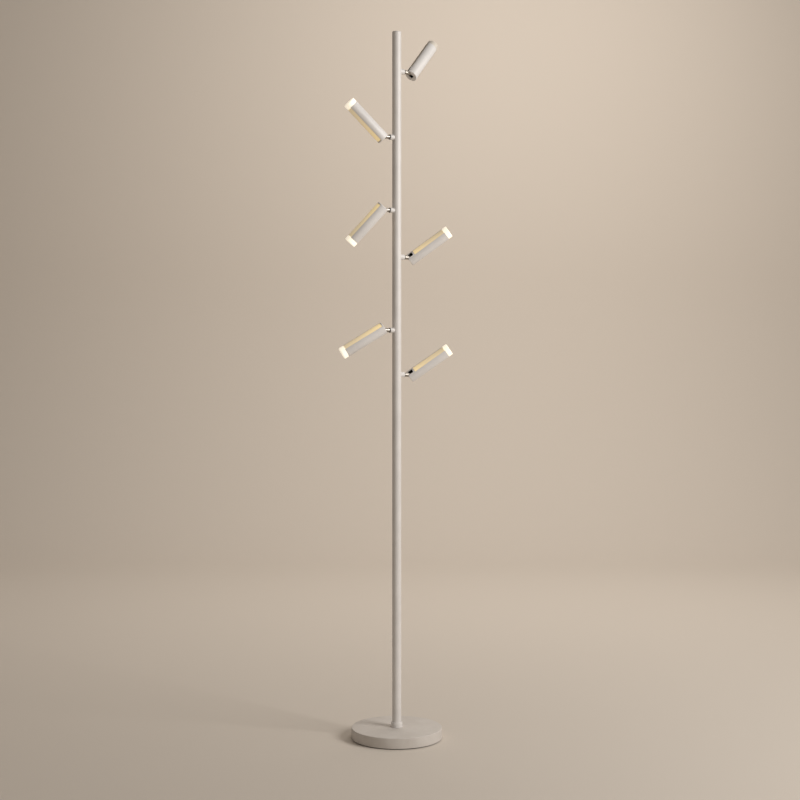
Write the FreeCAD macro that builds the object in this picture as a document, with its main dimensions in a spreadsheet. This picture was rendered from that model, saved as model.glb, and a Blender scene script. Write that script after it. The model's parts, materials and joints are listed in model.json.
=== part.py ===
import FreeCAD, Part
import math
import os
import re
import Sketcher

# Tree floor lamp: a round weighted base, one slim pole, and six cylindrical spot heads that leave the
# pole alternately to the right (+X) and to the left (-X).  Each head turns about its horizontal arm (pan)
# and tips about a pin in its tail (tilt).  Frame: origin at the middle of the floor contact, +Z up, the
# six arms in the XZ plane, the cable inlet at the rear (+Y).  All lengths are in millimetres.

RIGHT = 1
LEFT = -1

# name: (value, what it is)
SIZES = {
    # overall
    "lamp_height": (1720.0, "floor to the top of the pole cap"),
    # base
    "base_diameter": (220.0, "outside of the base cover"),
    "base_height": (27.0, "floor to the top of the base cover"),
    "cover_wall": (2.0, "sheet of the base cover"),
    "cover_edge_radius": (1.6, "rounded top edge of the base cover"),
    "pad_thickness": (2.0, "foot pad under the ballast"),
    "pad_inset": (5.0, "foot pad edge, in from the cover's edge"),
    "seat_gap": (0.05, "radial play of a part seated in another"),
    "ballast_gap": (0.4, "play between the ballast and the cover's wall"),
    # pole
    "pole_diameter": (22.0, "outside of the pole tube"),
    "pole_wall": (1.5, "wall of the pole tube"),
    "joint_clearance": (5.0, "sleeve in the pole's joint to the lowest arm's hole"),
    "coupler_length": (60.0, "sleeve inside the two pole tubes"),
    "coupler_bore": (12.0, "wire way through the sleeve"),
    "cap_plate": (2.5, "visible plate of the pole cap"),
    "cap_edge_radius": (0.6, "rounded top edge of the pole cap"),
    "cap_plug_length": (8.0, "plug of the pole cap inside the tube"),
    "cap_plug_gap": (0.1, "radial play of the cap's plug"),
    "collar_diameter": (28.0, "foot collar"),
    "collar_height": (12.0, "foot collar"),
    "collar_gap": (0.1, "radial play of the foot collar on the pole"),
    "collar_edge_radius": (1.0, "rounded top edge of the foot collar"),
    # fixing of the pole to the base
    "stud_diameter": (12.0, "hollow threaded stud"),
    "stud_bore": (7.0, "wire way through the stud"),
    "stud_plug_length": (18.0, "plug of the stud inside the pole"),
    "stud_hole_gap": (0.2, "radial play of the stud in the base"),
    "stud_end_gap": (3.0, "stud's end above the foot pad"),
    "nut_width": (19.0, "across the flats of the hexagon nut"),
    "nut_height": (7.0, "hexagon nut"),
    "washer_diameter": (24.0, "washer over the nut"),
    "washer_thickness": (2.0, "washer over the nut"),
    "nut_recess_diameter": (34.0, "recess for nut and washer"),
    # electronics in the base
    "driver_length": (100.0, "supply unit, along X"),
    "driver_width": (40.0, "supply unit, along Y"),
    "driver_height": (14.0, "supply unit"),
    "driver_centre": (56.0, "supply unit's middle behind the pole"),
    "driver_gap": (2.0, "room round the supply unit"),
    "driver_ear": (9.0, "fixing ear at each end of the supply unit"),
    "driver_ear_thickness": (2.0, "fixing ear"),
    "driver_ear_width": (20.0, "fixing ear"),
    "screw_diameter": (3.0, "fixing screw"),
    "screw_length": (6.0, "fixing screw's thread in the ballast"),
    "screw_head_diameter": (5.6, "fixing screw"),
    "screw_head_height": (2.0, "fixing screw"),
    "screw_hole_gap": (0.2, "radial play of the screw in the ear"),
    "channel_width": (8.0, "wire channel from the nut recess to the supply unit"),
    "channel_depth": (6.0, "wire channel"),
    "inlet_height": (14.0, "middle of the cable inlet over the floor"),
    "inlet_bore": (6.4, "clear bore for the supply cable"),
    "grommet_diameter": (9.0, "grommet's neck"),
    "grommet_neck": (8.0, "grommet's neck, inwards from the cover"),
    "grommet_flange_diameter": (11.6, "grommet's outer flange"),
    "grommet_flange": (1.5, "grommet's outer flange, out from the cover"),
    # arm bosses on the pole
    "boss_diameter": (13.0, "boss that carries an arm"),
    "boss_reach": (20.5, "pole axis to the boss's outer end"),
    "boss_edge_radius": (0.6, "rounded outer edge of the boss"),
    "boss_shank_diameter": (10.5, "shank of the boss in the pole's side hole"),
    "boss_shank_reach": (3.0, "shank, inwards from the pole's surface"),
    "boss_counterbore": (8.4, "room for the arm's flared end"),
    "boss_counterbore_depth": (4.2, "depth of that room"),
    "friction_ring_diameter": (11.0, "friction ring between boss and arm"),
    "friction_ring_thickness": (1.5, "friction ring"),
    "friction_ring_bore_gap": (0.2, "radial play of the ring on the spigot"),
    # arm
    "arm_diameter": (10.0, "round arm between boss and head"),
    "arm_reach": (47.0, "pole axis to the tilt pin"),
    "spigot_diameter": (6.0, "arm's spigot in the boss"),
    "running_gap": (0.05, "radial play of a turning fit"),
    "face_gap": (0.3, "play between faces that turn on each other"),
    "flare_diameter": (7.8, "spread end that keeps the spigot in the boss"),
    "flare_thickness": (1.5, "spread end"),
    "arm_wire_bore": (4.0, "wire way through the arm"),
    "arm_bore_stop": (5.0, "wire way's end, short of the tilt pin's axis"),
    # head
    "head_diameter": (30.0, "outside of the head's tube"),
    "head_wall": (1.5, "wall of the head's tube"),
    "head_length": (120.0, "rear face to the front of the lit cap"),
    "head_tail": (10.0, "rear face to the tilt pin"),
    "head_rear_wall": (2.0, "closed rear of the tube"),
    "head_rear_radius": (1.2, "rounded rear edge"),
    "slot_gap": (0.35, "play of the arm in the tail slot, each side"),
    "pin_diameter": (4.0, "tilt pin"),
    "pin_inset": (0.6, "tilt pin's ends, in from the core's surface"),
    "core_front": (14.0, "tilt pin to the core's front face"),
    "core_wire_hole": (3.4, "wire way through the core"),
    "core_wire_offset": (6.0, "wire way's distance from the head's axis"),
    # light guide
    "lit_cap_length": (11.0, "lit cap in front of the tube"),
    "lit_cap_step": (0.3, "radial step from the tube to the lit cap"),
    "lit_cap_front": (3.5, "thickness of the lit cap's front"),
    "lit_cap_radius": (1.5, "rounded front edge of the lit cap"),
    "guide_plug_length": (8.0, "plug of the lit cap inside the tube"),
    "guide_bore": (22.0, "hollow inside the lit cap"),
    "strip_width": (14.0, "long light slot in the tube"),
    "strip_rear_margin": (4.0, "rear face to the far side's light slot"),
    "strip_web": (4.0, "tail slot to the near side's light slot"),
    # light source
    "board_thickness": (1.6, "two-sided circuit board"),
    "board_width": (19.0, "two-sided circuit board"),
    "board_length": (80.0, "two-sided circuit board"),
    "board_seat": (3.0, "depth of the board's groove in the core"),
    "chip_size": (3.0, "light-emitting chip, square"),
    "chip_height": (0.8, "light-emitting chip"),
    # wiring
    "trunk_diameter": (6.0, "bundle of wires up the pole"),
    "branch_diameter": (2.4, "pair of wires to one head"),
    "branch_end_gap": (8.0, "pair's end, short of the tilt pin"),
    "floor_run_height": (1.6, "middle of the wires in the base, over the foot pad"),
}

CHIPS_PER_SIDE = 6

# The six heads, from the top: side of the pole, arm below the lamp's top, pan and tilt at rest.  Pan is
# the turn about the arm's outward axis from the upright plane; tilt is the angle between the arm's
# outward axis and the head's own axis.
HEADS = (
    (RIGHT, 95.0, -10.0, 50.5),
    (LEFT, 258.5, 12.0, 44.0),
    (LEFT, 436.0, 152.0, 56.5),
    (RIGHT, 548.0, 42.0, 51.5),
    (LEFT, 727.5, 145.0, 40.0),
    (RIGHT, 835.0, 40.0, 48.5),
)
for number, (side, drop, pan, tilt) in enumerate(HEADS, 1):
    SIZES[f"arm_{number}_drop"] = (drop, f"arm {number} below the lamp's top")
    SIZES[f"arm_{number}_pan"] = (pan, f"head {number}, turn about its arm, degrees")
    SIZES[f"head_{number}_tilt"] = (tilt, f"head {number}, angle from its arm, degrees")

# Lengths that several pieces share, as expressions of the sizes above.
POLE_RADIUS = "pole_diameter / 2"
POLE_BORE = "pole_diameter - 2 * pole_wall"
COVER_TOP = "base_height"
BALLAST_TOP = "(base_height - cover_wall)"
TUBE_TOP = "(lamp_height - cap_plate)"
DRIVER_TOP = "(pad_thickness + driver_height + floor_run_height)"
TUBE_FRONT = "(head_length - lit_cap_length - head_tail)"
HEAD_BORE = "(head_diameter - 2 * head_wall)"
SLOT_WIDTH = "(arm_diameter + 2 * slot_gap)"
CORE_DIAMETER = "(head_diameter - 2 * head_wall - 4 * seat_gap)"
GUIDE_SEAT = "(head_diameter - 2 * head_wall - 2 * seat_gap)"
COUNTERBORE_FLOOR = "(pole_diameter / 2 - boss_shank_reach + boss_counterbore_depth)"
ARM_SHOULDER = "(boss_reach + friction_ring_thickness + face_gap)"
NEAR_STRIP_START = "(arm_diameter / 2 + slot_gap + strip_web)"
FAR_STRIP_START = "(strip_rear_margin - head_tail)"
RECESS_DEPTH = "(stud_end_gap + nut_height + washer_thickness)"
ARM_HEIGHTS = [f"(lamp_height - arm_{number}_drop)" for number in range(1, len(HEADS) + 1)]
POLE_JOINT = f"({ARM_HEIGHTS[-1]} - boss_shank_diameter / 2 - joint_clearance - coupler_length / 2)"
BEYOND = 5.0  # how far a cut runs past the surface that it opens
NEAR = 1e-4  # how near a circle's size and height must be to the asked ones to be that circle
LEAST_CUT = 1e-3  # cubic millimetres that a cut must at least take away

doc = FreeCAD.newDocument("TreeFloorLamp")
sheet = doc.addObject("Spreadsheet::Sheet", "Sizes")
for row, (name, (value, meaning)) in enumerate(SIZES.items(), 1):
    sheet.set(f"A{row}", name)
    sheet.set(f"B{row}", str(value))
    sheet.set(f"C{row}", meaning)
    sheet.setAlias(f"B{row}", name)
doc.recompute()


def size(name):
    """Give one size from the sheet."""
    return float(sheet.get(name))


def formula(text):
    """Write an expression of size names as the document reads it."""
    def of_sheet(match):
        word = match.group(0)
        return "Sizes." + word if word in SIZES else word
    return re.sub(r"[a-z_][a-z_0-9]*", of_sheet, text)


def worth(text):
    """Work out an expression of size names."""
    return float(sheet.evalExpression(formula(text)))


def bind(thing, prop, text):
    """Tie a property of an object to an expression of size names."""
    thing.setExpression(prop, formula(text))


# ---------------------------------------------------------------- solids from primitives

TURNED = {
    "x": FreeCAD.Rotation(FreeCAD.Vector(0, 1, 0), 90),
    "y": FreeCAD.Rotation(FreeCAD.Vector(1, 0, 0), -90),
    "z": FreeCAD.Rotation(),
}


def place(thing, at):
    for axis, text in zip("xyz", at):
        bind(thing, f"Placement.Base.{axis}", text)
    return thing


def cylinder(name, diameter, length, at=("0", "0", "0"), axis="z"):
    """A cylinder that starts at a point and runs along +X, +Y or +Z."""
    thing = doc.addObject("Part::Cylinder", name)
    bind(thing, "Radius", f"({diameter}) / 2")
    bind(thing, "Height", length)
    thing.Placement = FreeCAD.Placement(FreeCAD.Vector(), TURNED[axis])
    return place(thing, at)


def block(name, width, depth, length, at):
    """A box; at is the middle of its lower face."""
    thing = doc.addObject("Part::Box", name)
    bind(thing, "Length", width)
    bind(thing, "Width", depth)
    bind(thing, "Height", length)
    corner = (f"{at[0]} - ({width}) / 2", f"{at[1]} - ({depth}) / 2", at[2])
    return place(thing, corner)


def cut(name, base, tool):
    thing = doc.addObject("Part::Cut", name)
    thing.Base = base
    thing.Tool = tool
    return thing


def fuse(name, parts):
    thing = doc.addObject("Part::MultiFuse", name)
    thing.Shapes = parts
    return thing


def ring(name, outer, inner, length, at=("0", "0", "0"), axis="z"):
    bore = cylinder(f"{name}_bore", inner, length, at, axis)
    return cut(name, cylinder(f"{name}_round", outer, length, at, axis), bore)


def group(name, parts):
    thing = doc.addObject("Part::Compound", name)
    thing.Links = parts
    return thing


# ---------------------------------------------------------------- solids from sketches

def new_body(name):
    body = doc.addObject("PartDesign::Body", name)
    body.Label = name
    return body


def sketch_on(body, name, role="XY_Plane", offset="0"):
    """A sketch on one of the body's own planes, shifted along the plane's normal."""
    sketch = body.newObject("Sketcher::SketchObject", name)
    plane = next(item for item in body.Origin.OriginFeatures if item.Role == role)
    sketch.AttachmentSupport = [(plane, "")]
    sketch.MapMode = "FlatFace"
    bind(sketch, "AttachmentOffset.Base.z", offset)
    return sketch


def pin_point(sketch, geometry, end, x, y):
    """Hold one point of a sketch at two expressions."""
    for kind, text, axis in (("DistanceX", x, -2), ("DistanceY", y, -1)):
        if text == "0":
            sketch.addConstraint(Sketcher.Constraint("PointOnObject", geometry, end, axis))
        elif text is not None:
            held = Sketcher.Constraint(kind, -1, 1, geometry, end, worth(text))
            number = sketch.addConstraint(held)
            bind(sketch, f"Constraints[{number}]", text)


def add_circle(sketch, diameter, x="0", y="0"):
    centre = FreeCAD.Vector(worth(x), worth(y), 0)
    circle = Part.Circle(centre, FreeCAD.Vector(0, 0, 1), worth(diameter) / 2)
    number = sketch.addGeometry(circle, False)
    pin_point(sketch, number, 3, x, y)
    held = sketch.addConstraint(Sketcher.Constraint("Diameter", number, worth(diameter)))
    bind(sketch, f"Constraints[{held}]", diameter)


def add_outline(sketch, corners):
    """A closed outline.  A corner is (x, y), reached by a line, or (x, y, (cx, cy), turn), reached by an
    arc about the middle cx, cy: turn is +1 anticlockwise and -1 clockwise.  Where an arc's ends already
    fix one coordinate of its middle, that one is None."""
    points = [FreeCAD.Vector(worth(corner[0]), worth(corner[1]), 0) for corner in corners]
    numbers = []
    for index, corner in enumerate(corners):
        start = points[index - 1]
        end = points[index]
        if len(corner) == 2:
            numbers.append((sketch.addGeometry(Part.LineSegment(start, end), False), 1, 2))
            continue
        middle = FreeCAD.Vector(worth(corner[2][0] or "0"), worth(corner[2][1] or "0"), 0)
        first, last = (start, end) if corner[3] > 0 else (end, start)
        circle = Part.Circle(middle, FreeCAD.Vector(0, 0, 1), (start - middle).Length)
        angles = [math.atan2((spot - middle).y, (spot - middle).x) for spot in (first, last)]
        number = sketch.addGeometry(Part.ArcOfCircle(circle, *angles), False)
        numbers.append((number, 1, 2) if corner[3] > 0 else (number, 2, 1))
        pin_point(sketch, number, 3, *corner[2])
    for index, (number, begin, finish) in enumerate(numbers):
        following = numbers[(index + 1) % len(numbers)]
        joined = Sketcher.Constraint("Coincident", number, finish, following[0], following[1])
        sketch.addConstraint(joined)
        pin_point(sketch, number, finish, corners[index][0], corners[index][1])


def add_rectangle(sketch, left, right, low, high):
    add_outline(sketch, [(left, low), (right, low), (right, high), (left, high)])


def pad(body, sketch, length, backwards=False):
    feature = body.newObject("PartDesign::Pad", f"{sketch.Name}_pad")
    feature.Profile = sketch
    bind(feature, "Length", length)
    feature.Reversed = backwards
    return feature


def pocket(body, sketch, length, backwards=False, both_ways=False):
    """A cut against the sketch's normal, with the normal when backwards, or half each way."""
    feature = body.newObject("PartDesign::Pocket", f"{sketch.Name}_cut")
    feature.Profile = sketch
    bind(feature, "Length", length)
    feature.Reversed = backwards
    feature.Midplane = both_ways
    return feature


def revolve(body, sketch):
    feature = body.newObject("PartDesign::Revolution", f"{sketch.Name}_turned")
    feature.Profile = sketch
    feature.ReferenceAxis = (sketch, ["V_Axis"])
    feature.Angle = 360.0
    return feature


def round_circles(body, feature, radius, places):
    """Round the circular edges of a feature at (diameter, height) in the body's own frame."""
    doc.recompute()
    wanted = [(worth(diameter) / 2, worth(height)) for diameter, height in places]
    names = []
    for number, edge in enumerate(feature.Shape.Edges, 1):
        if not isinstance(edge.Curve, Part.Circle):
            continue
        for edge_radius, height in wanted:
            same_size = abs(edge.Curve.Radius - edge_radius) < NEAR
            same_height = abs(edge.Curve.Center.z - height) < NEAR
            if same_size and same_height:
                names.append(f"Edge{number}")
    if not names:
        raise RuntimeError(f"{body.Label} has no edge to round")
    fillet = body.newObject("PartDesign::Fillet", f"{body.Name}_round")
    fillet.Base = (feature, names)
    bind(fillet, "Radius", radius)
    return fillet


# ---------------------------------------------------------------- the base

def base_cover():
    """Pressed steel cover: a flat top, a rounded edge and a straight skirt that stops over the pad."""
    body = new_body("base_cover")
    section = sketch_on(body, "cover_section", "XZ_Plane")
    hole = "stud_diameter / 2 + stud_hole_gap"
    inner = "base_diameter / 2 - cover_wall"
    outer = "base_diameter / 2"
    add_outline(section, [
        (hole, BALLAST_TOP), (inner, BALLAST_TOP), (inner, "pad_thickness"),
        (outer, "pad_thickness"), (outer, COVER_TOP), (hole, COVER_TOP)])
    shell = revolve(body, section)
    round_circles(body, shell, "cover_edge_radius", [("base_diameter", COVER_TOP)])
    inlet = sketch_on(body, "cover_inlet", "XZ_Plane")
    add_circle(inlet, "grommet_diameter + 2 * seat_gap", "0", "inlet_height")
    pocket(body, inlet, f"base_diameter / 2 + {BEYOND}")
    return body


def base_ballast():
    """Cast iron disc that fills the cover, hollowed from below for the nut, the wires and the supply."""
    body = new_body("base_ballast")
    disc = sketch_on(body, "ballast_disc", offset="pad_thickness")
    add_circle(disc, "base_diameter - 2 * cover_wall - 2 * ballast_gap")
    pad(body, disc, f"{BALLAST_TOP} - pad_thickness")
    stud_hole = sketch_on(body, "ballast_stud_hole", offset="pad_thickness")
    add_circle(stud_hole, "stud_diameter + 2 * stud_hole_gap")
    pocket(body, stud_hole, BALLAST_TOP, backwards=True)
    recess = sketch_on(body, "ballast_nut_recess", offset="pad_thickness")
    add_circle(recess, "nut_recess_diameter")
    pocket(body, recess, RECESS_DEPTH, backwards=True)
    room = sketch_on(body, "ballast_driver_room", offset="pad_thickness")
    half = "driver_length / 2 + driver_ear + driver_gap"
    add_rectangle(room, f"-({half})", half, "driver_centre - driver_width / 2 - driver_gap",
                  "driver_centre + driver_width / 2 + driver_gap")
    pocket(body, room, f"{DRIVER_TOP} - pad_thickness", backwards=True)
    channel = sketch_on(body, "ballast_wire_channel", offset="pad_thickness")
    add_rectangle(channel, "-channel_width / 2", "channel_width / 2", "nut_recess_diameter / 4",
                  "driver_centre - driver_width / 2")
    pocket(body, channel, "channel_depth", backwards=True)
    inlet = sketch_on(body, "ballast_inlet", "XZ_Plane", offset="-driver_centre")
    add_circle(inlet, "grommet_diameter + 2 * seat_gap", "0", "inlet_height")
    pocket(body, inlet, "base_diameter / 2")
    holes = sketch_on(body, "ballast_screw_holes", offset=DRIVER_TOP)
    for way in ("", "-"):
        add_circle(holes, "screw_diameter", f"{way}(driver_length + driver_ear) / 2", "driver_centre")
    pocket(body, holes, "screw_length", backwards=True)
    return body


def foot_pad():
    """Black foam rubber disc stuck under the ballast; its edge is set back, so it reads as a shadow gap."""
    return cylinder("foot_pad", "base_diameter - 2 * pad_inset", "pad_thickness")


def cable_grommet():
    """Black grommet in the rear of the cover, with a clear bore for the supply cable."""
    start = "base_diameter / 2 - grommet_neck"
    whole = "grommet_neck + grommet_flange"
    neck = cylinder("grommet_neck_round", "grommet_diameter", whole, ("0", start, "inlet_height"), "y")
    flange = cylinder("grommet_flange_round", "grommet_flange_diameter", "grommet_flange",
                      ("0", "base_diameter / 2", "inlet_height"), "y")
    bore = cylinder("grommet_bore", "inlet_bore", whole, ("0", start, "inlet_height"), "y")
    return cut("cable_grommet", fuse("grommet_round", [neck, flange]), bore)


def led_driver():
    """Supply unit that hangs by two ears from the roof of its room in the ballast."""
    case = block("driver_case", "driver_length", "driver_width", "driver_height",
                 ("0", "driver_centre", f"{DRIVER_TOP} - driver_height"))
    ears = block("driver_ears", "driver_length + 2 * driver_ear", "driver_ear_width",
                 "driver_ear_thickness", ("0", "driver_centre", f"{DRIVER_TOP} - driver_ear_thickness"))
    solid = fuse("driver_solid", [case, ears])
    holes = []
    for way, side_name in (("", "right"), ("-", "left")):
        at = (f"{way}(driver_length + driver_ear) / 2", "driver_centre",
              f"{DRIVER_TOP} - driver_ear_thickness")
        holes.append(cylinder(f"driver_hole_{side_name}", "screw_diameter + 2 * screw_hole_gap",
                              "driver_ear_thickness", at))
    return cut("led_driver", solid, fuse("driver_holes", holes))


def driver_screws():
    """The two screws of the supply unit, heads down."""
    screws = []
    for way, side_name in (("", "right"), ("-", "left")):
        x = f"{way}(driver_length + driver_ear) / 2"
        under_ear = f"{DRIVER_TOP} - driver_ear_thickness"
        shank = cylinder(f"screw_shank_{side_name}", "screw_diameter",
                         "driver_ear_thickness + screw_length - face_gap", (x, "driver_centre", under_ear))
        head = cylinder(f"screw_head_{side_name}", "screw_head_diameter", "screw_head_height",
                        (x, "driver_centre", f"{under_ear} - screw_head_height"))
        screws.append(fuse(f"screw_{side_name}", [shank, head]))
    return group("driver_screws", screws)


# ---------------------------------------------------------------- the pole

def pole_lower():
    """Plain steel tube from the base to the joint."""
    return ring("pole_lower", "pole_diameter", POLE_BORE, f"{POLE_JOINT} - {COVER_TOP}",
                ("0", "0", COVER_TOP))


def pole_upper():
    """Steel tube from the joint to the cap, with one side hole for each arm boss."""
    body = new_body("pole_upper")
    outside = sketch_on(body, "upper_tube", offset=POLE_JOINT)
    add_circle(outside, "pole_diameter")
    add_circle(outside, POLE_BORE)
    pad(body, outside, f"{TUBE_TOP} - {POLE_JOINT}")
    for side, name in ((RIGHT, "right"), (LEFT, "left")):
        holes = sketch_on(body, f"upper_holes_{name}", "YZ_Plane")
        for head, height in zip(HEADS, ARM_HEIGHTS):
            if head[0] == side:
                add_circle(holes, "boss_shank_diameter", "0", height)
        pocket(body, holes, "pole_diameter", backwards=(side == RIGHT))
    return body


def pole_coupler():
    """Sleeve that joins the two tubes from inside."""
    outer = f"{POLE_BORE} - 2 * seat_gap"
    return ring("pole_coupler", outer, "coupler_bore", "coupler_length",
                ("0", "0", f"{POLE_JOINT} - coupler_length / 2"))


def pole_stud():
    """Hollow stud: a plug in the foot of the pole, and a thread down through the base."""
    plug = cylinder("stud_plug", f"{POLE_BORE} - 2 * seat_gap", "stud_plug_length", ("0", "0", COVER_TOP))
    foot = "pad_thickness + stud_end_gap"
    thread = cylinder("stud_thread", "stud_diameter", f"{COVER_TOP} - ({foot})", ("0", "0", foot))
    bore = cylinder("stud_wire_way", "stud_bore", f"{COVER_TOP} + stud_plug_length", ("0", "0", "0"))
    return cut("pole_stud", fuse("stud_solid", [plug, thread]), bore)


def pole_nut():
    """Hexagon nut and washer that pull the pole down on the base, from below."""
    foot = "pad_thickness + stud_end_gap"
    hexagon = doc.addObject("Part::Prism", "nut_hexagon")
    hexagon.Polygon = 6
    bind(hexagon, "Circumradius", "nut_width / 2 / cos(30)")
    bind(hexagon, "Height", "nut_height")
    place(hexagon, ("0", "0", foot))
    bore = "stud_diameter + 2 * seat_gap"
    nut = cut("nut", hexagon, cylinder("nut_bore", bore, "nut_height", ("0", "0", foot)))
    washer = ring("nut_washer", "washer_diameter", bore, "washer_thickness",
                  ("0", "0", f"{foot} + nut_height"))
    return group("pole_nut", [nut, washer])


def foot_collar():
    """Turned collar round the foot of the pole."""
    body = new_body("foot_collar")
    section = sketch_on(body, "collar_section", offset=COVER_TOP)
    add_circle(section, "collar_diameter")
    add_circle(section, "pole_diameter + 2 * collar_gap")
    solid = pad(body, section, "collar_height")
    round_circles(body, solid, "collar_edge_radius", [("collar_diameter", f"{COVER_TOP} + collar_height")])
    return body


def top_cap():
    """Cap that closes the pole: a plate flush with the tube and a plug inside it."""
    body = new_body("top_cap")
    plate = sketch_on(body, "cap_plate_disc", offset=TUBE_TOP)
    add_circle(plate, "pole_diameter")
    top = pad(body, plate, "cap_plate")
    round_circles(body, top, "cap_edge_radius", [("pole_diameter", "lamp_height")])
    plug = sketch_on(body, "cap_plug_disc", offset=TUBE_TOP)
    add_circle(plug, f"{POLE_BORE} - 2 * cap_plug_gap")
    pad(body, plug, "cap_plug_length", backwards=True)
    return body


# ---------------------------------------------------------------- bosses and arms
# Their own frames: origin on the pole's axis at the arm's height, +Z outwards along the arm.

def arm_boss(number):
    """Turned boss set in the pole's side: saddle against the tube, bore and room for the arm's spigot."""
    body = new_body(f"arm_boss_{number}")
    disc = sketch_on(body, f"boss_{number}_disc")
    add_circle(disc, "boss_diameter")
    solid = pad(body, disc, "boss_reach")
    round_circles(body, solid, "boss_edge_radius", [("boss_diameter", "boss_reach")])
    saddle = sketch_on(body, f"boss_{number}_saddle", "YZ_Plane")
    add_circle(saddle, "pole_diameter")
    pocket(body, saddle, "2 * boss_diameter", both_ways=True)
    shank = sketch_on(body, f"boss_{number}_shank", offset=f"{POLE_RADIUS} - boss_shank_reach")
    add_circle(shank, "boss_shank_diameter")
    pad(body, shank, "boss_shank_reach + pole_wall")
    bore = sketch_on(body, f"boss_{number}_bore")
    add_circle(bore, "spigot_diameter + 2 * running_gap")
    pocket(body, bore, f"boss_reach + {BEYOND}", backwards=True)
    room = sketch_on(body, f"boss_{number}_room", offset=COUNTERBORE_FLOOR)
    add_circle(room, "boss_counterbore")
    pocket(body, room, "pole_diameter / 2")
    return body


def friction_rings():
    """Six black rings, one between each boss and its arm."""
    rings = []
    for number, (head, height) in enumerate(zip(HEADS, ARM_HEIGHTS), 1):
        start = "boss_reach" if head[0] == RIGHT else "-boss_reach - friction_ring_thickness"
        rings.append(ring(f"friction_ring_{number}", "friction_ring_diameter",
                          "spigot_diameter + 2 * friction_ring_bore_gap", "friction_ring_thickness",
                          (start, "0", height), "x"))
    return group("friction_rings", rings)


def swivel_arm(number):
    """Round arm: spigot spread over inside the boss, shoulder, rod, ball end with the tilt pin's hole."""
    body = new_body(f"swivel_arm_{number}")
    section = sketch_on(body, f"arm_{number}_section", "XZ_Plane")
    flare_top = f"{COUNTERBORE_FLOOR} - face_gap"
    flare_foot = f"{flare_top} - flare_thickness"
    bore = "arm_wire_bore / 2"
    bore_end = "arm_reach - arm_bore_stop"
    add_outline(section, [
        (bore, flare_foot), ("flare_diameter / 2", flare_foot), ("flare_diameter / 2", flare_top),
        ("spigot_diameter / 2", flare_top), ("spigot_diameter / 2", ARM_SHOULDER),
        ("arm_diameter / 2", ARM_SHOULDER), ("arm_diameter / 2", "arm_reach"),
        ("0", "arm_reach + arm_diameter / 2", ("0", None), 1),
        ("0", bore_end), (bore, bore_end)])
    revolve(body, section)
    hole = sketch_on(body, f"arm_{number}_pin_hole", "XZ_Plane")
    add_circle(hole, "pin_diameter + 2 * running_gap", "0", "arm_reach")
    pocket(body, hole, "2 * arm_diameter", both_ways=True)
    return body


# ---------------------------------------------------------------- heads
# Their own frames: origin on the tilt pin, +Z forwards along the head, +X towards the tail slot, so +Y
# lies along the pin.

def add_tail_slot(sketch):
    """Room for the arm as the head tips from straight out to square: open behind and towards +X."""
    half = f"{SLOT_WIDTH} / 2"
    far = f"head_diameter / 2 + {BEYOND}"
    behind = f"-head_tail - {BEYOND}"
    add_outline(sketch, [
        ("0", half), (f"-({half})", "0", (None, "0"), 1), (f"-({half})", behind), (far, behind),
        (far, half)])


def head_housing(number):
    """Aluminium tube, closed behind, with the tail slot and two long light slots opposite each other."""
    body = new_body(f"head_{number}_housing")
    outside = sketch_on(body, f"housing_{number}_round", offset="-head_tail")
    add_circle(outside, "head_diameter")
    solid = pad(body, outside, f"head_tail + {TUBE_FRONT}")
    round_circles(body, solid, "head_rear_radius", [("head_diameter", "-head_tail")])
    inside = sketch_on(body, f"housing_{number}_bore", offset="head_rear_wall - head_tail")
    add_circle(inside, HEAD_BORE)
    pocket(body, inside, f"head_length + {BEYOND}", backwards=True)
    tail = sketch_on(body, f"housing_{number}_tail_slot", "XZ_Plane")
    add_tail_slot(tail)
    pocket(body, tail, SLOT_WIDTH, both_ways=True)
    for name, start, backwards in (("near", NEAR_STRIP_START, True), ("far", FAR_STRIP_START, False)):
        strip = sketch_on(body, f"housing_{number}_{name}_slot", "YZ_Plane")
        add_rectangle(strip, "-strip_width / 2", "strip_width / 2", start, f"head_length + {BEYOND}")
        pocket(body, strip, "head_diameter", backwards=backwards)
    return body


def hinge_core(number):
    """Black block in the tail: slot for the arm, cross hole for the pin, groove for the circuit board."""
    body = new_body(f"head_{number}_hinge_core")
    outside = sketch_on(body, f"core_{number}_round", offset="head_rear_wall - head_tail")
    add_circle(outside, CORE_DIAMETER)
    pad(body, outside, "core_front + head_tail - head_rear_wall")
    tail = sketch_on(body, f"core_{number}_slot", "XZ_Plane")
    add_tail_slot(tail)
    pocket(body, tail, SLOT_WIDTH, both_ways=True)
    hole = sketch_on(body, f"core_{number}_pin_hole", "XZ_Plane")
    add_circle(hole, "pin_diameter")
    pocket(body, hole, "2 * head_diameter", both_ways=True)
    groove = sketch_on(body, f"core_{number}_groove", offset="core_front")
    half_thick = "board_thickness / 2 + seat_gap"
    half_wide = "board_width / 2 + seat_gap"
    add_rectangle(groove, f"-({half_thick})", half_thick, f"-({half_wide})", half_wide)
    pocket(body, groove, "board_seat")
    wires = sketch_on(body, f"core_{number}_wire_way", offset="core_front")
    add_circle(wires, "core_wire_hole", "core_wire_offset", "0")
    pocket(body, wires, "core_front")
    return body


def hinge_pin(number):
    """Steel pin across the core, through the arm's ball."""
    body = new_body(f"head_{number}_hinge_pin")
    section = sketch_on(body, f"pin_{number}_section", "XZ_Plane")
    add_circle(section, "pin_diameter")
    pin = pad(body, section, f"{CORE_DIAMETER} - 2 * pin_inset")
    pin.Midplane = True
    return body


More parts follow.
